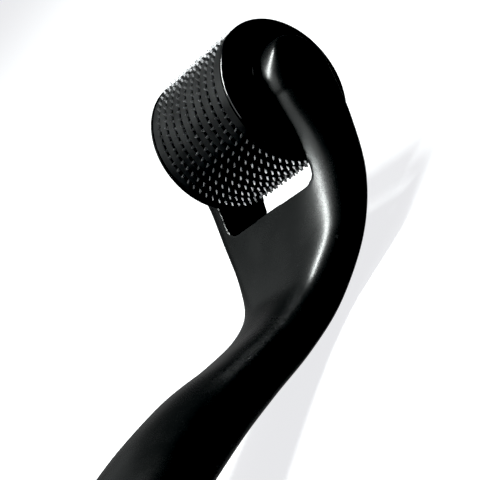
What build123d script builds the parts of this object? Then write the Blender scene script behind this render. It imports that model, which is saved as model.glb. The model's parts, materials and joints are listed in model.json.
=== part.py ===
"""Derma roller: a forked handle in two shells, and a needle drum that turns on a steel pin.

The roller lies on its back, drum uppermost. +X points from the tail to the drum, Y runs along the
drum's axle and +Z is up. The origin is under the middle of the roller, on the surface it lies on.
All sizes are in millimetres.
"""

from build123d import *

import os
from math import ceil, copysign, cos, hypot, pi, radians, sin
from operator import mul

# Drum
RING_COUNT = 9
RING_PITCH = 1.8
RING_THICKNESS = 0.3
RING_BODY_RADIUS = 10.2
NEEDLES_PER_RING = 60
NEEDLE_TIP_RADIUS = 11.05
NEEDLE_ROOT_HALF_WIDTH = 0.3
RING_TURNS = (3.2, 1.1, 2.7, 0.5, 0.2, 1.5, 4.3, 3.4, 0.7)  # degrees, each ring as it was stacked
DISC_RADIUS = 10.65
DISC_EDGE_CHAMFER = 0.12
CAP_RADIUS = 10.75
CAP_THICKNESS = 0.75
CAP_EDGE_RADIUS = 0.5
CAP_BORE_RADIUS = 1.5
SPIGOT_LENGTH = 0.75
CORE_RADIUS = 4.0
CORE_BORE_RADIUS = 1.5
KEY_WIDTH = 1.4
KEY_HEIGHT = 0.8
FIT_CLEARANCE = 0.03

# Axle
PIN_RADIUS = 1.0
PIN_LENGTH = 26.0
PIN_CHAMFER = 0.2
RUNNING_CLEARANCE = 0.05
BUSH_RADIUS = 2.4
BUSH_LENGTH = 4.0
WASHER_RADIUS = 2.6
WASHER_THICKNESS = 0.65

# Handle
AXLE_X = 60.95
AXLE_Z = 22.07
FORK_GAP = 21.0
CROTCH_BACK = 12.1
CROTCH_DROP = 9.1
CROTCH_SLOPE = 43.0
CROTCH_CORNER_RADIUS = 2.2
SLOT_REACH = 40.0
WALL = 2.0
DIMPLE_RADIUS = 1.3
DIMPLE_DEPTH = 0.25
DIMPLE_FACE = 14.4
PEG_RADIUS = 1.2
PEG_SOCKET_RADIUS = 2.4
PEG_REACH = 1.6
SEAM_SETBACK = 0.2
SPLIT_REACH = 20.0

# Stations down the handle: distance behind the axle, drop below it, slope towards the tail,
# half thickness, half width, and how square the section is (2 is an ellipse).
STATIONS = [
    (-1.0, 0.5, 76, 6.2, 14.4, 5.0),
    (3.4, 6.8, 52, 5.3, 14.6, 4.0),
    (9.1, 12.3, 39, 4.5, 14.6, 3.5),
    (15.6, 16.3, 23, 3.8, 12.7, 3.3),
    (23.2, 18.2, 5, 3.8, 9.5, 3.0),
    (30.9, 17.5, -12, 3.8, 8.3, 2.7),
    (39.4, 15.1, -17, 4.2, 8.3, 2.4),
    (48.9, 12.2, -15, 5.1, 9.1, 2.2),
    (62.0, 9.8, -5, 5.6, 10.0, 2.2),
    (77.5, 9.6, 3, 5.9, 10.3, 2.2),
    (95.0, 11.2, 8, 5.7, 10.0, 2.2),
    (112.0, 14.2, 12, 5.0, 8.9, 2.2),
    (125.5, 17.4, 13, 4.2, 7.6, 2.2),
]
STATION_SPACING = 4.0
SECTION_POINTS = 20
ROUNDING_ANGLES = (30, 52, 70, 84)
ARM_END_EASING = 0.07
TAIL_END_EASING = 0.8
HOLLOW_START = 39.0
HOLLOW_END = 120.0
PEG_STATIONS = (7, 9, 11)

# Worked out from the sizes above
STACK_LENGTH = (RING_COUNT + 1) * RING_PITCH
CAP_FACE = STACK_LENGTH / 2 + CAP_THICKNESS
CORE_LENGTH = STACK_LENGTH - 2 * (SPIGOT_LENGTH + FIT_CLEARANCE)
ARM_FACE = FORK_GAP / 2


def across_axle(y):
    """Plane square to the axle at a distance y along it, its normal along +Y."""
    return Plane(origin=(AXLE_X, y, AXLE_Z), x_dir=(1, 0, 0), z_dir=(0, 1, 0))


def handle_plane(back, drop, slope):
    """Plane square to the handle's line, facing the tail, with its own Y towards the back."""
    towards_tail = (-cos(radians(slope)), 0, -sin(radians(slope)))
    return Plane(origin=(AXLE_X - back, 0, AXLE_Z - drop), x_dir=(0, 1, 0), z_dir=towards_tail)


def smoothed(stations):
    """The same stations with more between them, on smooth curves through the ones given."""
    before_first = [2 * a - b for a, b in zip(stations[0], stations[1])]
    after_last = [2 * a - b for a, b in zip(stations[-1], stations[-2])]
    padded = [before_first, *stations, after_last]
    dense = []
    for before, start, end, after in zip(padded, padded[1:], padded[2:], padded[3:]):
        steps = ceil(hypot(end[0] - start[0], end[1] - start[1]) / STATION_SPACING)
        for t in (step / steps for step in range(steps)):
            weights = (
                -t / 2 + t**2 - t**3 / 2,
                1 - 5 * t**2 / 2 + 3 * t**3 / 2,
                t / 2 + 2 * t**2 - 3 * t**3 / 2,
                -(t**2) / 2 + t**3 / 2,
            )
            corners = zip(before, start, end, after)
            dense.append(tuple(sum(map(mul, weights, values)) for values in corners))
    return dense + [stations[-1]]


def rounded_end(station, reach, thins):
    """Stations that round off an end: reach is how far, thins says which way it closes."""
    back, drop, slope, half_thickness, half_width, power = station
    stations = []
    for angle in ROUNDING_ANGLES:
        along = reach * sin(radians(angle))
        closing = cos(radians(angle))
        easing = closing ** (ARM_END_EASING if thins else TAIL_END_EASING)
        stations.append(
            (
                back + along * cos(radians(slope)),
                drop + along * sin(radians(slope)),
                slope,
                half_thickness * (closing if thins else easing),
                half_width * (easing if thins else closing),
                power,
            )
        )
    return stations


def handle_section(station, inset=0.0):
    """Rounded cross-section of the handle at one station, drawn in all round by inset."""
    half_thickness, half_width, power = station[3:]
    points = []
    for step in range(SECTION_POINTS):
        angle = 2 * pi * step / SECTION_POINTS + pi / 2
        across = copysign(abs(cos(angle)) ** (2 / power), cos(angle))
        through = copysign(abs(sin(angle)) ** (2 / power), sin(angle))
        points.append((across * (half_width - inset), through * (half_thickness - inset)))
    with BuildSketch() as section:
        with BuildLine():
            Spline(*points, periodic=True)
        make_face()
    return section.sketch


def keyed_bore():
    """Outline of the hole that slides over the drum core and its two keys."""
    with BuildSketch() as bore:
        Circle(CORE_RADIUS + FIT_CLEARANCE)
        Rectangle(2 * (CORE_RADIUS + KEY_HEIGHT + FIT_CLEARANCE), KEY_WIDTH + 2 * FIT_CLEARANCE)
    return bore.sketch


def ring_middle(index):
    """Distance along the axle of the middle of one needle ring, counted from 1."""
    return (index - (RING_COUNT + 1) / 2) * RING_PITCH


# ------------------------------------------------------------------ handle: whole outer shape
arm_end = rounded_end(STATIONS[0], -STATIONS[0][3], thins=True)
tail_end = rounded_end(STATIONS[-1], STATIONS[-1][4], thins=False)
handle_stations = smoothed(STATIONS)
all_stations = arm_end[::-1] + handle_stations + tail_end

with BuildPart() as handle_body:
    for station in all_stations:
        with BuildSketch(handle_plane(*station[:3])):
            add(handle_section(station))
    loft()
    # The fork's slot: open at the head, with rounded corners at the crotch.
    crotch_line = handle_plane(CROTCH_BACK, CROTCH_DROP, CROTCH_SLOPE)
    with BuildSketch(Plane(crotch_line.origin, x_dir=(0, 1, 0), z_dir=-crotch_line.y_dir)) as slot:
        with Locations((0, -SLOT_REACH / 2)):
            Rectangle(FORK_GAP, SLOT_REACH)
        fillet(slot.vertices().group_by(Axis.Y)[-1], CROTCH_CORNER_RADIUS)
    extrude(amount=SLOT_REACH / 2, both=True, mode=Mode.SUBTRACT)
    # Blind hole through both arm faces for the axle pin.
    with BuildSketch(across_axle(-PIN_LENGTH / 2 - FIT_CLEARANCE)):
        Circle(PIN_RADIUS + FIT_CLEARANCE)
    extrude(amount=PIN_LENGTH + 2 * FIT_CLEARANCE, mode=Mode.SUBTRACT)
    # A shallow dimple in the outside of each arm, over the pin's end.
    sphere_radius = (DIMPLE_RADIUS**2 + DIMPLE_DEPTH**2) / (2 * DIMPLE_DEPTH)
    for side in (-1, 1):
        with Locations((AXLE_X, side * (DIMPLE_FACE + sphere_radius - DIMPLE_DEPTH), AXLE_Z)):
            Sphere(sphere_radius, mode=Mode.SUBTRACT)

# The space inside the grip and the lower neck.
with BuildPart() as hollow:
    for station in handle_stations:
        if HOLLOW_START <= station[0] <= HOLLOW_END:
            with BuildSketch(handle_plane(*station[:3])):
                add(handle_section(station, inset=WALL))
    loft()

# The space in front of the surface where the two shells meet, along the handle's own line.
with BuildPart() as front_space:
    with BuildSketch(Plane.XZ):
        with BuildLine():
            line_stations = [arm_end[-1], *STATIONS, tail_end[-1]]
            middle = Spline(*[(AXLE_X - back, AXLE_Z - drop) for back, drop, *_ in line_stations])
            head_point = middle @ 0 - (middle % 0) * SPLIT_REACH
            tail_point = middle @ 1 + (middle % 1) * SPLIT_REACH
            Polyline(
                middle @ 0,
                head_point,
                (tail_point.X, head_point.Y),
                tail_point,
                middle @ 1,
            )
        make_face()
    extrude(amount=SPLIT_REACH, both=True)

# ------------------------------------------------------------------ handle shells
with BuildPart() as handle_front_shell:
    add(handle_body.part)
    add(hollow.part, mode=Mode.SUBTRACT)
    add(front_space.part, mode=Mode.INTERSECT)
    # Pegs that drop into the back shell's sockets.
    for number in PEG_STATIONS:
        back, drop, slope, half_thickness = STATIONS[number][:4]
        peg_plane = Plane(
            origin=(AXLE_X - back, 0, AXLE_Z - drop), x_dir=(0, 1, 0),
            z_dir=-handle_plane(back, drop, slope).y_dir,
        )
        with BuildSketch(peg_plane.offset(-PEG_REACH)):
            Circle(PEG_RADIUS)
        extrude(amount=PEG_REACH + half_thickness - WALL / 2)

with BuildPart() as handle_back_shell:
    add(handle_body.part)
    add(hollow.part, mode=Mode.SUBTRACT)
    add(front_space.part, mode=Mode.SUBTRACT)
    for number in PEG_STATIONS:
        back, drop, slope, half_thickness = STATIONS[number][:4]
        socket_plane = Plane(
            origin=(AXLE_X - back, 0, AXLE_Z - drop), x_dir=(0, 1, 0),
            z_dir=handle_plane(back, drop, slope).y_dir,
        )
        with BuildSketch(socket_plane.offset(SEAM_SETBACK)):
            Circle(PEG_SOCKET_RADIUS)
            Circle(PEG_RADIUS + 2 * FIT_CLEARANCE, mode=Mode.SUBTRACT)
        extrude(amount=half_thickness - WALL / 2 - SEAM_SETBACK)

# ------------------------------------------------------------------ axle
with BuildPart() as axle_pin:
    with BuildSketch(across_axle(-PIN_LENGTH / 2)):
        Circle(PIN_RADIUS)
    extrude(amount=PIN_LENGTH)
    chamfer(axle_pin.edges().filter_by(GeomType.CIRCLE), PIN_CHAMFER)

washers = {}
for name, start in (
    ("left_spacer_washer", -ARM_FACE),
    ("right_spacer_washer", ARM_FACE - WASHER_THICKNESS),
):
    with BuildPart() as washers[name]:
        with BuildSketch(across_axle(start)):
            Circle(WASHER_RADIUS)
            Circle(PIN_RADIUS + FIT_CLEARANCE, mode=Mode.SUBTRACT)
        extrude(amount=WASHER_THICKNESS)

# ------------------------------------------------------------------ drum
with BuildPart() as drum_core:
    with BuildSketch(across_axle(-CORE_LENGTH / 2)):
        Circle(CORE_RADIUS)
        Rectangle(2 * (CORE_RADIUS + KEY_HEIGHT), KEY_WIDTH)
        Circle(CORE_BORE_RADIUS, mode=Mode.SUBTRACT)
    extrude(amount=CORE_LENGTH)
    with BuildSketch(across_axle(-CORE_LENGTH / 2), across_axle(CORE_LENGTH / 2 - BUSH_LENGTH)):
        Circle(BUSH_RADIUS + FIT_CLEARANCE)
    extrude(amount=BUSH_LENGTH, mode=Mode.SUBTRACT)

bushes = {}
for name, start in (
    ("left_bush", -CORE_LENGTH / 2),
    ("right_bush", CORE_LENGTH / 2 - BUSH_LENGTH),
):
    with BuildPart() as bushes[name]:
        with BuildSketch(across_axle(start)):
            Circle(BUSH_RADIUS)
            Circle(PIN_RADIUS + RUNNING_CLEARANCE, mode=Mode.SUBTRACT)
        extrude(amount=BUSH_LENGTH)

caps = {}
for name, side in (("left_end_cap", -1), ("right_end_cap", 1)):
    inner_face = across_axle(side * STACK_LENGTH / 2)
    with BuildPart() as caps[name]:
        with BuildSketch(inner_face):
            Circle(CAP_RADIUS)
            Circle(CAP_BORE_RADIUS, mode=Mode.SUBTRACT)
        extrude(amount=side * CAP_THICKNESS)
        rim = caps[name].edges().group_by(Axis.Y)[-1 if side > 0 else 0].sort_by(SortBy.RADIUS)[-1]
        fillet(rim, CAP_EDGE_RADIUS)
        with BuildSketch(inner_face):
            Circle(CORE_RADIUS)
            Circle(BUSH_RADIUS + FIT_CLEARANCE, mode=Mode.SUBTRACT)
        extrude(amount=-side * SPIGOT_LENGTH)

discs = {}
for number in range(1, RING_COUNT + 2):
    first, last = number == 1, number == RING_COUNT + 1
    start = -STACK_LENGTH / 2 if first else ring_middle(number - 1) + RING_THICKNESS / 2
    end = STACK_LENGTH / 2 if last else ring_middle(number) - RING_THICKNESS / 2
    with BuildPart() as discs[f"disc_{number}"]:
        with BuildSketch(across_axle(start)):
            Circle(DISC_RADIUS)
        extrude(amount=end - start)
        chamfer(discs[f"disc_{number}"].edges().filter_by(GeomType.CIRCLE), DISC_EDGE_CHAMFER)
        with BuildSketch(across_axle(start)):
            add(keyed_bore())
        extrude(amount=end - start, mode=Mode.SUBTRACT)

# Each ring is stamped from sheet, its needles pointing outwards all round.
needle_rings = {}
for number in range(1, RING_COUNT + 1):
    step = 2 * pi / NEEDLES_PER_RING
    root_angle = NEEDLE_ROOT_HALF_WIDTH / RING_BODY_RADIUS
    outline = []
    for needle in range(NEEDLES_PER_RING):
        middle_angle = needle * step + radians(RING_TURNS[number - 1])
        for radius, offset in (
            (RING_BODY_RADIUS, -root_angle),
            (NEEDLE_TIP_RADIUS, 0),
            (RING_BODY_RADIUS, root_angle),
        ):
            outline.append(
                (radius * cos(middle_angle + offset), radius * sin(middle_angle + offset))
            )
    name = f"needle_ring_{number}"
    with BuildPart() as needle_rings[name]:
        with BuildSketch(across_axle(ring_middle(number) - RING_THICKNESS / 2)):
            with BuildLine():
                Polyline(*outline, close=True)
            make_face()
            add(keyed_bore(), mode=Mode.SUBTRACT)
        extrude(amount=RING_THICKNESS)

# ------------------------------------------------------------------ write every piece
pieces = {
    "handle_front_shell": handle_front_shell,
    "handle_back_shell": handle_back_shell,
    "axle_pin": axle_pin,
    "drum_core": drum_core,
    **washers,
    **bushes,
    **caps,
    **discs,
    **needle_rings,
}
os.makedirs("parts", exist_ok=True)
for name, piece in pieces.items():
    piece.part.label = name
    export_step(piece.part, f"parts/{name}.step")
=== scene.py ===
"""Derma roller: looks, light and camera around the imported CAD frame."""

import json
from math import ceil, copysign, cos, hypot, pi, radians, sin

import bmesh
import bpy
from mathutils import Matrix, Vector


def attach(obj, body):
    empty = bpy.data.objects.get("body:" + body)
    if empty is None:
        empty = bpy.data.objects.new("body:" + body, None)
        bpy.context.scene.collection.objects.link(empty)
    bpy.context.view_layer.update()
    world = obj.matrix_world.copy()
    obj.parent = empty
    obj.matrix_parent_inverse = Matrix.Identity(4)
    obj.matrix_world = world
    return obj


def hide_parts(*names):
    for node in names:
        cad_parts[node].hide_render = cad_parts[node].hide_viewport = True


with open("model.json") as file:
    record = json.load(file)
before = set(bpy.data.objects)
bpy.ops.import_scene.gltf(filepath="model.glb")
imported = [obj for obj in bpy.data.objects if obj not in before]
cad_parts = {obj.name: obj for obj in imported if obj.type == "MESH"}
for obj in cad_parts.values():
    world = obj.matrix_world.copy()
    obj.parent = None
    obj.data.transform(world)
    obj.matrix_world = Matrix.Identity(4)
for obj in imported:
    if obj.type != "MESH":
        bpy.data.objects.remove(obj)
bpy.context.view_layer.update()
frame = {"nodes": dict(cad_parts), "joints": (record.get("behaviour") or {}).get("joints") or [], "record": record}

MM = 0.001

# The middle of the drum's axle, read from the frame, in millimetres.
AXLE = Vector(frame["joints"][0]["pos_m"]) / MM

# Stations down the handle: distance behind the axle, drop below it, slope towards the tail,
# half thickness, half width, and how square the section is (2 is an ellipse). Millimetres.
STATIONS = [
    (-1.0, 0.5, 76, 6.2, 14.4, 5.0),
    (3.4, 6.8, 52, 5.3, 14.6, 4.0),
    (9.1, 12.3, 39, 4.5, 14.6, 3.5),
    (15.6, 16.3, 23, 3.8, 12.7, 3.3),
    (23.2, 18.2, 5, 3.8, 9.5, 3.0),
    (30.9, 17.5, -12, 3.8, 8.3, 2.7),
    (39.4, 15.1, -17, 4.2, 8.3, 2.4),
    (48.9, 12.2, -15, 5.1, 9.1, 2.2),
    (62.0, 9.8, -5, 5.6, 10.0, 2.2),
    (77.5, 9.6, 3, 5.9, 10.3, 2.2),
    (95.0, 11.2, 8, 5.7, 10.0, 2.2),
    (112.0, 14.2, 12, 5.0, 8.9, 2.2),
    (125.5, 17.4, 13, 4.2, 7.6, 2.2),
]
STATION_SPACING = 1.0
SECTION_POINTS = 120

# How the two ends close: the turns at which they get a station, in degrees, and how little the
# other side of the section closes with them, 0 being not at all.
END_TURNS = range(5, 88, 4)
ARM_END_EASING = 0.07
TAIL_END_EASING = 0.8

# The fork's slot: its width, where its floor stands behind and below the axle, and its slope.
FORK_GAP = 21.0
CROTCH_BACK = 12.1
CROTCH_DROP = 9.1
CROTCH_SLOPE = 43.0
CROTCH_CORNER_RADIUS = 2.2
CORNER_STEPS = 12
SLOT_REACH = 30.0

# The shallow dimple in each arm's outer face, over the axle.
DIMPLE_RADIUS = 1.3
DIMPLE_DEPTH = 0.25
DIMPLE_FACE = 14.4
BALL_STEPS = 96

# The skin's mesh size, the rounds and strength of smoothing of its edges, the sharpest crease
# that is shaded smooth, half the gap where the two shells meet, and how far the tool that
# splits them goes beyond the skin's ends and to each side.
VOXEL = 0.25
EDGE_SMOOTHING = 5
SMOOTHING_STRENGTH = 0.5
SMOOTH_CREASE = 40
SEAM_HALF_GAP = 0.015
TOOL_MARGIN = 20
TOOL_HALF_WIDTH = 30

# Radii on the drum: the flat of a disc's rim, its edge, and a needle's shank and its point.
DISC_FLAT_RADIUS = 10.4
DISC_RADIUS = 10.65
NEEDLE_SHANK_RADIUS = 10.5
NEEDLE_POINT_RADIUS = 10.95

# Camera: where it stands from the axle, which way it is turned, its lens and its near limit.
CAMERA_FROM_AXLE = Vector((-139.4, -145.3, 44.8))
CAMERA_TURN = (65.72, 49.87, -58.60)
CAMERA_LENS = 106.6
CAMERA_NEAR = 0.01

# Studio: half the floor's width in metres, the lamps' tint, the point they face from the axle,
# the turn of the strip, where the dim backdrop lies, and the tone printed as black.
FLOOR_REACH = 6.0
LAMP_COLOUR = (0.95, 1.0, 0.985)
LAMP_AIM = Vector((-20, 0, -10))
STRIP_HEADING = 63
BACKDROP_DIRECTION = (0.61, 0.74, -0.26)
BACKDROP_EDGES = (0.85, 0.99)
BACKDROP_STRENGTHS = (0.03, 0.2)
BLACK_LEVEL = 0.009


# ------------------------------------------------------------------ mesh helpers
def mesh_object(name, vertices, faces):
    """A new object in the scene from vertices and faces, its faces turned outwards."""
    mesh = bpy.data.meshes.new(name)
    mesh.from_pydata([tuple(v) for v in vertices], [], faces)
    shape = bmesh.new()
    shape.from_mesh(mesh)
    bmesh.ops.recalc_face_normals(shape, faces=shape.faces)
    shape.to_mesh(mesh)
    shape.free()
    made = bpy.data.objects.new(name, mesh)
    bpy.context.scene.collection.objects.link(made)
    return made


def apply_modifiers(made):
    """Bakes an object's modifiers into its mesh."""
    graph = bpy.context.evaluated_depsgraph_get()
    graph.update()
    made.data = bpy.data.meshes.new_from_object(made.evaluated_get(graph))
    made.modifiers.clear()
    return made


def cut_with(made, tool, operation):
    """Boolean of two closed meshes, applied to the first; the tool stays."""
    cut = made.modifiers.new("cut", "BOOLEAN")
    cut.operation = operation
    cut.solver = "MANIFOLD"
    cut.object = tool
    apply_modifiers(made)


def remove(made):
    """Takes an object out of the scene."""
    bpy.data.objects.remove(made)


def tube_faces(rings, points):
    """Faces joining rings of points into a closed tube with capped ends."""
    faces = [
        (
            ring * points + point,
            ring * points + (point + 1) % points,
            (ring + 1) * points + (point + 1) % points,
            (ring + 1) * points + point,
        )
        for ring in range(rings - 1)
        for point in range(points)
    ]
    faces.append(tuple(reversed(range(points))))
    faces.append(tuple((rings - 1) * points + point for point in range(points)))
    return faces


# ------------------------------------------------------------------ handle
def smoothed(stations):
    """The same stations with more between them, on smooth curves through the ones given."""
    before_first = [2 * a - b for a, b in zip(stations[0], stations[1])]
    after_last = [2 * a - b for a, b in zip(stations[-1], stations[-2])]
    padded = [before_first, *stations, after_last]
    dense = []
    for neighbours in zip(padded, padded[1:], padded[2:], padded[3:]):
        _, start, end, _ = neighbours
        steps = ceil(hypot(end[0] - start[0], end[1] - start[1]) / STATION_SPACING)
        for t in (step / steps for step in range(steps)):
            weights = (
                (-t + 2 * t**2 - t**3) / 2,
                (2 - 5 * t**2 + 3 * t**3) / 2,
                (t + 4 * t**2 - 3 * t**3) / 2,
                (-(t**2) + t**3) / 2,
            )
            dense.append(
                tuple(sum(w * v for w, v in zip(weights, values)) for values in zip(*neighbours))
            )
    return dense + [stations[-1]]


def rounded_end(station, reach, thins):
    """Stations that round off an end: how far it reaches, and whether it closes by thinning."""
    back, drop, slope, half_thickness, half_width, power = station
    stations = []
    for angle in END_TURNS:
        along = reach * sin(radians(angle))
        closing = cos(radians(angle))
        easing = closing ** (ARM_END_EASING if thins else TAIL_END_EASING)
        stations.append(
            (
                back + along * cos(radians(slope)),
                drop + along * sin(radians(slope)),
                slope,
                half_thickness * (closing if thins else easing),
                half_width * (easing if thins else closing),
                power,
            )
        )
    return stations


def plane_axes(slope):
    """Directions along the handle's line towards the tail, and out of its drum side."""
    angle = radians(slope)
    return Vector((-cos(angle), 0, -sin(angle))), Vector((-sin(angle), 0, cos(angle)))


def section_points(station):
    """The points round one station's section, a superellipse."""
    back, drop, slope, half_thickness, half_width, power = station
    centre = AXLE - Vector((back, 0, drop))
    front = plane_axes(slope)[1]
    points = []
    for step in range(SECTION_POINTS):
        angle = 2 * pi * step / SECTION_POINTS
        across = copysign(abs(cos(angle)) ** (2 / power), cos(angle)) * half_width
        through = copysign(abs(sin(angle)) ** (2 / power), sin(angle)) * half_thickness
        points.append(centre + Vector((0, across, 0)) + front * through)
    return points


def handle_outline():
    """All the handle's stations from the arms' ends to the tail."""
    arm_end = rounded_end(STATIONS[0], -STATIONS[0][3], thins=True)
    tail_end = rounded_end(STATIONS[-1], STATIONS[-1][4], thins=False)
    return arm_end[::-1] + smoothed(STATIONS) + tail_end


def slot_tool():
    """The fork's slot as a closed prism: open at the head, rounded in the crotch's corners."""
    along, front = plane_axes(CROTCH_SLOPE)
    origin = AXLE - Vector((CROTCH_BACK, 0, CROTCH_DROP))
    half = FORK_GAP / 2
    r = CROTCH_CORNER_RADIUS
    outline = [(half, -SLOT_REACH)]
    for side in (1, -1):
        for step in range(CORNER_STEPS + 1):
            angle = radians(90 * step / CORNER_STEPS + (0 if side > 0 else 90))
            outline.append((side * (half - r) + r * cos(angle), -r + r * sin(angle)))
    outline.append((-half, -SLOT_REACH))
    vertices = [
        origin + Vector((0, y, 0)) + along * x + front * level
        for level in (-SLOT_REACH, SLOT_REACH)
        for y, x in outline
    ]
    return mesh_object("slot_tool", vertices, tube_faces(2, len(outline)))


def front_space_tool(stations, shift):
    """Everything in front of the surface where the two shells meet, moved forward by shift."""
    line = []
    first, last = stations[0], stations[-1]
    for back, drop, slope, *_ in stations:
        line.append(AXLE - Vector((back, 0, drop)) + plane_axes(slope)[1] * shift)
    line.insert(0, line[0] - plane_axes(first[2])[0] * TOOL_MARGIN)
    line.append(line[-1] + plane_axes(last[2])[0] * TOOL_MARGIN)
    top = line[0].z + TOOL_MARGIN
    outline = line + [Vector((line[-1].x, 0, top)), Vector((line[0].x, 0, top))]
    sides = (TOOL_HALF_WIDTH, -TOOL_HALF_WIDTH)
    vertices = [p + Vector((0, y, 0)) for y in sides for p in outline]
    return mesh_object("front_space", vertices, tube_faces(2, len(outline)))


def dimple_tool(side):
    """A ball that grazes one arm's outer face over the axle, leaving its shallow dimple."""
    ball_radius = (DIMPLE_RADIUS**2 + DIMPLE_DEPTH**2) / (2 * DIMPLE_DEPTH)
    height = side * (DIMPLE_FACE + ball_radius - DIMPLE_DEPTH)
    place = Matrix.Translation(AXLE + Vector((0, height, 0))) @ Matrix.Rotation(pi / 2, 4, "X")
    ball = bmesh.new()
    bmesh.ops.create_uvsphere(
        ball, u_segments=BALL_STEPS, v_segments=BALL_STEPS, radius=ball_radius, matrix=place
    )
    ball.verts.ensure_lookup_table()
    vertices = [vertex.co.copy() for vertex in ball.verts]
    faces = [tuple(vertex.index for vertex in face.verts) for face in ball.faces]
    ball.free()
    return mesh_object("dimple_tool", vertices, faces)


def make_handle():
    """The handle's two shells as smooth skins, split where the moulding's halves meet."""
    stations = handle_outline()
    points = [point for station in stations for point in section_points(station)]
    body = mesh_object("handle_body", points, tube_faces(len(stations), SECTION_POINTS))
    slot = slot_tool()
    cut_with(body, slot, "DIFFERENCE")
    remove(slot)
    remesh = body.modifiers.new("even", "REMESH")
    remesh.mode = "VOXEL"
    remesh.voxel_size = VOXEL
    smooth = body.modifiers.new("soften", "SMOOTH")
    smooth.factor = SMOOTHING_STRENGTH
    smooth.iterations = EDGE_SMOOTHING
    apply_modifiers(body)
    for side in (1, -1):
        dimple = dimple_tool(side)
        cut_with(body, dimple, "DIFFERENCE")
        remove(dimple)
    shells = []
    for name, operation, shift in (
        ("handle_front", "INTERSECT", SEAM_HALF_GAP),
        ("handle_back", "DIFFERENCE", -SEAM_HALF_GAP),
    ):
        shell = body.copy()
        shell.data = body.data.copy()
        shell.name = name
        bpy.context.scene.collection.objects.link(shell)
        tool = front_space_tool(stations, shift)
        cut_with(shell, tool, operation)
        remove(tool)
        shell.data.transform(Matrix.Scale(MM, 4))
        shell.data.shade_smooth()
        shell.data.set_sharp_from_angle(angle=radians(SMOOTH_CREASE))
        shells.append(shell)
    remove(body)
    return shells


front_shell, back_shell = make_handle()
for shell, node in ((front_shell, "handle_front_shell"), (back_shell, "handle_back_shell")):
    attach(shell, "handle")
    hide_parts(node)


# ------------------------------------------------------------------ materials
def add_node(tree, kind, settings=None, **inputs):
    """A shader node with its settings, its inputs given as values or as nodes' outputs."""
    made = tree.nodes.new(kind)
    for key, value in (settings or {}).items():
        setattr(made, key, value)
    for key, value in inputs.items():
        socket = made.inputs[int(key[1:]) if key[1:].isdigit() else key.replace("_", " ")]
        if isinstance(value, bpy.types.NodeSocket):
            tree.links.new(value, socket)
        else:
            socket.default_value = value
    return made


def remap(tree, value, low, high, to_low=0.0, to_high=1.0):
    """The value spread from one range to another, held at the ends."""
    spread = add_node(
        tree, "ShaderNodeMapRange", None,
        Value=value, From_Min=low, From_Max=high, To_Min=to_low, To_Max=to_high,
    )
    return spread.outputs["Result"]


def mix_colours(tree, factor, first, second):
    """A blend of two colours, each given as numbers or as a node's output."""
    mix = tree.nodes.new("ShaderNodeMix")
    mix.data_type = "RGBA"
    tree.links.new(factor, mix.inputs["Factor"])
    for socket, colour in ((mix.inputs[6], first), (mix.inputs[7], second)):
        if isinstance(colour, bpy.types.NodeSocket):
            tree.links.new(colour, socket)
        else:
            socket.default_value = (*colour, 1.0)
    return mix.outputs[2]


def noise(tree, size, stretch=(1, 1, 1), detail=3.0):
    """Noise whose blotches are about this many millimetres across, from the object's own place."""
    place = add_node(tree, "ShaderNodeTexCoord").outputs["Object"]
    placed = add_node(tree, "ShaderNodeMapping", None, Vector=place, Scale=[s / MM for s in stretch])
    made = add_node(
        tree, "ShaderNodeTexNoise", None,
        Vector=placed.outputs["Vector"], Scale=1 / size, Detail=detail, Roughness=0.6,
    )
    return made.outputs["Fac"]


def from_axle(tree):
    """Distance from the drum's axis, in millimetres."""
    place = add_node(tree, "ShaderNodeTexCoord").outputs["Object"]
    offset = add_node(
        tree, "ShaderNodeVectorMath", {"operation": "SUBTRACT"}, _0=place, _1=AXLE * MM
    )
    flat = add_node(
        tree, "ShaderNodeVectorMath", {"operation": "MULTIPLY"},
        _0=offset.outputs["Vector"], _1=(1 / MM, 0, 1 / MM),
    )
    length = add_node(
        tree, "ShaderNodeVectorMath", {"operation": "LENGTH"}, _0=flat.outputs["Vector"]
    )
    return length.outputs["Value"]


def bump(tree, height, depth, below=None):
    """A normal roughened by a height, its full depth in millimetres."""
    inputs = {"Height": height, "Distance": depth * MM}
    if below:
        inputs["Normal"] = below
    return add_node(tree, "ShaderNodeBump", None, **inputs).outputs["Normal"]


def new_material(name, **constants):
    """A material's node tree and shader, with the values that are the same all over."""
    material = bpy.data.materials.new(name)
    material.use_nodes = True
    tree = material.node_tree
    shader = tree.nodes["Principled BSDF"]
    for key, value in constants.items():
        shader.inputs[key.replace("_", " ")].default_value = value
    return material, tree, shader


def connect(tree, shader, **inputs):
    """Links nodes' outputs to the shader's inputs."""
    for key, value in inputs.items():
        tree.links.new(value, shader.inputs[key.replace("_", " ")])


def handle_plastic():
    """Satin black moulding: fine spark-eroded grain, faint cloudy sheen, edges rubbed paler."""
    material, tree, shader = new_material("handle_plastic", Specular_IOR_Level=0.35)
    clouds = noise(tree, 9.0, detail=4.0)
    grain = noise(tree, 0.12, detail=2.0)
    geometry = add_node(tree, "ShaderNodeNewGeometry")
    edges = remap(tree, geometry.outputs["Pointiness"], 0.56, 0.66)
    cloudy = remap(tree, clouds, 0.35, 0.65)
    body = mix_colours(tree, cloudy, (0.0030, 0.0032, 0.0033), (0.0042, 0.0044, 0.0045))
    worn = mix_colours(tree, edges, body, (0.012, 0.0125, 0.0125))
    sheen = remap(tree, clouds, 0.3, 0.7, 0.24, 0.30)
    speckle = remap(tree, grain, 0.35, 0.65, -0.015, 0.015)
    rough = add_node(tree, "ShaderNodeMath", {"operation": "ADD"}, _0=sheen, _1=speckle)
    connect(
        tree, shader,
        Base_Color=worn,
        Roughness=rough.outputs["Value"],
        Normal=bump(tree, grain, 0.002),
    )
    return material


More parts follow.
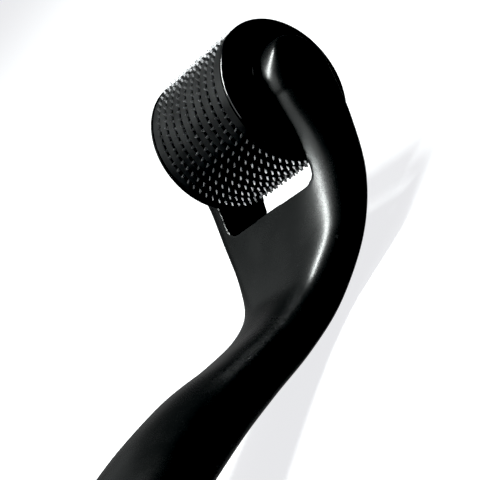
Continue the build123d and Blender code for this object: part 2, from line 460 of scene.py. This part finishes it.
def disc_plastic():
    """Satin black discs: fine lines round their rims, and painted shade darkening their sides down in the grooves
    between discs, so the edge stands slightly paler.
    """
    material, tree, shader = new_material("disc_plastic", Specular_IOR_Level=0.3)
    clouds = noise(tree, 3.0)
    lines = noise(tree, 0.05, stretch=(0.02, 1, 0.02), detail=1.0)
    rim = remap(tree, from_axle(tree), DISC_FLAT_RADIUS, DISC_RADIUS)
    cloudy = remap(tree, clouds, 0.35, 0.65)
    body = mix_colours(tree, cloudy, (0.0025, 0.0026, 0.0028), (0.004, 0.0042, 0.0045))
    # Painted shade: below the rim's flat, where the discs' sides sit in the grooves between them, the colour is
    # darker.
    groove_shaded = mix_colours(tree, rim, (0.002, 0.002, 0.0022), body)
    connect(
        tree, shader,
        Base_Color=groove_shaded,
        Roughness=remap(tree, clouds, 0.3, 0.7, 0.34, 0.44),
        Normal=bump(tree, lines, 0.004),
    )
    return material


def cap_plastic():
    """Polished black end caps with faint wiping marks and moulding waves."""
    material, tree, shader = new_material("cap_plastic", Specular_IOR_Level=0.5)
    smears = noise(tree, 2.5, stretch=(1, 1, 0.35), detail=5.0)
    marks = noise(tree, 0.08, stretch=(0.06, 1, 1), detail=2.0)
    waves = noise(tree, 6.0, detail=1.0)
    smeared = remap(tree, smears, 0.4, 0.7)
    body = mix_colours(tree, smeared, (0.002, 0.002, 0.0022), (0.0035, 0.0035, 0.0038))
    connect(
        tree, shader,
        Base_Color=body,
        Roughness=remap(tree, smears, 0.3, 0.7, 0.08, 0.17),
        Normal=bump(tree, marks, 0.0008, bump(tree, waves, 0.01)),
    )
    return material


def needle_steel():
    """Stamped stainless: grey and drawn at the root, ground bright towards each point."""
    material, tree, shader = new_material("needle_steel", Metallic=1.0)
    tip = remap(tree, from_axle(tree), NEEDLE_SHANK_RADIUS, NEEDLE_POINT_RADIUS)
    stain = noise(tree, 0.6, detail=4.0)
    drawn = noise(tree, 0.05, stretch=(1, 0.1, 1), detail=2.0)
    stained = remap(tree, stain, 0.35, 0.65)
    root = mix_colours(tree, stained, (0.42, 0.42, 0.44), (0.56, 0.56, 0.58))
    ground = mix_colours(tree, tip, root, (0.92, 0.92, 0.94))
    rough = add_node(
        tree, "ShaderNodeMath", {"operation": "ADD"},
        _0=remap(tree, tip, 0.0, 1.0, 0.34, 0.26), _1=remap(tree, stain, 0.3, 0.7, -0.04, 0.04),
    )
    connect(
        tree, shader,
        Base_Color=ground,
        Roughness=rough.outputs["Value"],
        Normal=bump(tree, drawn, 0.002),
    )
    return material


def pin_steel():
    """Ground steel pin with fine lines round it."""
    material, tree, shader = new_material("pin_steel", Metallic=1.0)
    lines = noise(tree, 0.04, stretch=(0.05, 1, 0.05), detail=1.0)
    stain = noise(tree, 1.5)
    stained = remap(tree, stain, 0.35, 0.65)
    connect(
        tree, shader,
        Base_Color=mix_colours(tree, stained, (0.5, 0.5, 0.52), (0.64, 0.64, 0.65)),
        Roughness=remap(tree, stain, 0.3, 0.7, 0.16, 0.28),
        Normal=bump(tree, lines, 0.002),
    )
    return material


def nylon(name, dark, light):
    """Plain moulded plastic for the inner pieces: slightly mottled, matt, with a fine grain."""
    material, tree, shader = new_material(name, Specular_IOR_Level=0.4)
    clouds = noise(tree, 1.8)
    grain = noise(tree, 0.1, detail=2.0)
    connect(
        tree, shader,
        Base_Color=mix_colours(tree, remap(tree, clouds, 0.35, 0.65), dark, light),
        Roughness=remap(tree, clouds, 0.3, 0.7, 0.42, 0.56),
        Normal=bump(tree, grain, 0.005),
    )
    return material


MATERIALS = {
    "handle_plastic": handle_plastic(),
    "disc_plastic": disc_plastic(),
    "cap_plastic": cap_plastic(),
    "needle_steel": needle_steel(),
    "pin_steel": pin_steel(),
    "core_plastic": nylon("core_plastic", (0.022, 0.022, 0.024), (0.034, 0.034, 0.036)),
    "bush_plastic": nylon("bush_plastic", (0.66, 0.65, 0.60), (0.76, 0.75, 0.71)),
}


def paint(piece, slot):
    """Gives a piece the material of its slot."""
    piece.data.materials.clear()
    piece.data.materials.append(MATERIALS[slot])


for shell in (front_shell, back_shell):
    paint(shell, "handle_plastic")
for part in frame["record"]["subparts"]:
    paint(frame["nodes"][part["node"]], part["material_slot"])


# ------------------------------------------------------------------ floor and light
def softbox(name, azimuth, elevation, distance, width, height, radiance):
    """A lamp that faces the neck, from an azimuth (from +X to +Y) and elevation in degrees.

    Distance, width and height are in metres, and radiance is the brightness of its face.
    """
    towards = Vector(
        (
            cos(radians(elevation)) * cos(radians(azimuth)),
            cos(radians(elevation)) * sin(radians(azimuth)),
            sin(radians(elevation)),
        )
    )
    light = bpy.data.lights.new(name, "AREA")
    light.shape = "RECTANGLE"
    light.size = width
    light.size_y = height
    light.color = LAMP_COLOUR
    light.energy = radiance * pi * width * height
    lamp = bpy.data.objects.new(name, light)
    bpy.context.scene.collection.objects.link(lamp)
    lamp.location = (AXLE + LAMP_AIM) * MM + towards * distance
    lamp.rotation_euler = towards.to_track_quat("Z", "Y").to_euler()
    return lamp


floor = mesh_object(
    "floor",
    [(x * FLOOR_REACH, y * FLOOR_REACH, 0) for x, y in ((-1, -1), (1, -1), (1, 1), (-1, 1))],
    [(0, 1, 2, 3)],
)
floor_material, _, _ = new_material(
    "floor",
    Base_Color=(0.35, 0.35, 0.35, 1),
    Roughness=1.0,
    Specular_IOR_Level=0.0,
    Emission_Color=(0.97, 0.975, 1.0, 1),
    Emission_Strength=0.82,
)
floor.data.materials.append(floor_material)
# The glossy plastic mirrors the dark studio and not the floor, which keeps its sides black.
floor.visible_glossy = False

# A strip hangs level above the handle, and its long glint runs down the neck.
strip = softbox(
    "strip", azimuth=132, elevation=76, distance=0.6, width=0.06, height=0.58, radiance=105
)
strip.rotation_euler = (0, 0, radians(STRIP_HEADING))
softbox("left_panel", azimuth=167, elevation=40, distance=0.8, width=0.5, height=0.5, radiance=2.0)
softbox(
    "back_panel", azimuth=84, elevation=40, distance=0.9, width=1.05, height=0.85, radiance=0.2
)

# Two lamps light only the needles, so that their points shine out of the black drum.
needle_lamps = (
    softbox(
        "needle_front_light",
        azimuth=-46, elevation=6, distance=0.4, width=0.3, height=0.1, radiance=10,
    ),
    softbox(
        "needle_left_light",
        azimuth=163, elevation=33, distance=0.6, width=0.36, height=0.36, radiance=13,
    ),
)
steel_pieces = bpy.data.collections.new("steel_pieces")
for part in frame["record"]["subparts"]:
    if part["material_slot"] == "needle_steel":
        steel_pieces.objects.link(frame["nodes"][part["node"]])
for lamp in needle_lamps:
    lamp.light_linking.receiver_collection = steel_pieces

# The studio round it is nearly black, with a dim backdrop far behind that edges the outlines.
world = bpy.data.worlds.new("studio")
bpy.context.scene.world = world
world.use_nodes = True
sky = world.node_tree
facing = add_node(
    sky, "ShaderNodeVectorMath", {"operation": "DOT_PRODUCT"},
    _0=add_node(sky, "ShaderNodeTexCoord").outputs["Generated"], _1=BACKDROP_DIRECTION,
)
glow = remap(sky, facing.outputs["Value"], *BACKDROP_EDGES, *BACKDROP_STRENGTHS)
sky.links.new(glow, sky.nodes["Background"].inputs["Strength"])
sky.nodes["Background"].inputs["Color"].default_value = (1, 1, 1, 1)

# ------------------------------------------------------------------ camera
camera_data = bpy.data.cameras.new("camera")
camera_data.lens = CAMERA_LENS
camera_data.clip_start = CAMERA_NEAR
camera = bpy.data.objects.new("camera", camera_data)
bpy.context.scene.collection.objects.link(camera)
camera.location = (AXLE + CAMERA_FROM_AXLE) * MM
camera.rotation_euler = [radians(angle) for angle in CAMERA_TURN]
bpy.context.scene.camera = camera

# The picture's darkest tones are pulled down to black, for hard studio contrast.
view = bpy.context.scene.view_settings
view.view_transform = "Standard"
view.use_curve_mapping = True
view.curve_mapping.black_level = (BLACK_LEVEL, BLACK_LEVEL, BLACK_LEVEL)
view.curve_mapping.update()
